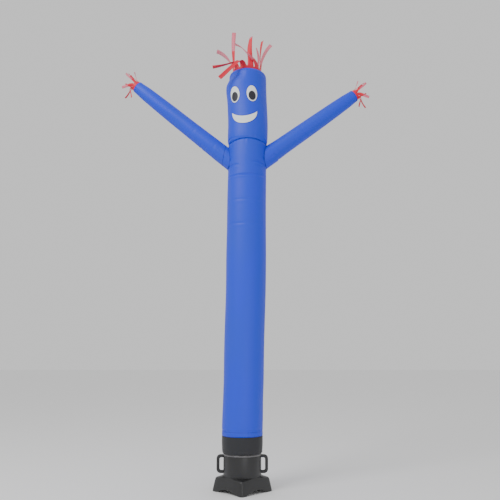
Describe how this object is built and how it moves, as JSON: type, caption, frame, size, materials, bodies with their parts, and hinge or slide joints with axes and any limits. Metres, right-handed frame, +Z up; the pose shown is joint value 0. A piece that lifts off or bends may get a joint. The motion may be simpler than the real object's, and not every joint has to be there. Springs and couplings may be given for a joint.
{
  "type": "inflatable air dancer on blower",
  "caption": "Tall inflated cloth tube figure with raised arms, streamers at head and hands and a smiling face, standing on a round fan blower with feet.",
  "frame": {"origin": "on the floor under the middle of the blower, at the middle of the part's base", "axes": "+Z up along the tube, the face looks along -Y, the arms reach along +X and -X"},
  "size_m": [3.3636, 0.728, 5.9997],
  "materials": {
    "blue_cloth": "coated ripstop nylon, slight sheen",
    "red_cloth": "thin nylon, lets light through",
    "black_cloth": "matt woven",
    "white_cloth": "matt",
    "pupil_cloth": "matt",
    "moulded_plastic": "fine moulded grain",
    "lip_plastic": "smooth"
  },
  "bodies": {
    "root": {"body_tube": "blue_cloth", "head_tube": "blue_cloth", "arm_left": "blue_cloth", "arm_right": "blue_cloth", "gusset_left": "blue_cloth", "cuff": "black_cloth", "head_streamers": "red_cloth", "hand_streamers_left": "red_cloth", "hand_streamers_right": "red_cloth", "eye_left": "white_cloth", "eye_right": "white_cloth", "mouth": "white_cloth", "pupil_left": "pupil_cloth", "pupil_right": "pupil_cloth", "blower_drum": "moulded_plastic", "blower_base": "moulded_plastic", "handle_left": "moulded_plastic", "handle_right": "moulded_plastic", "blower_lip": "lip_plastic"}
  },
  "joints": []
}
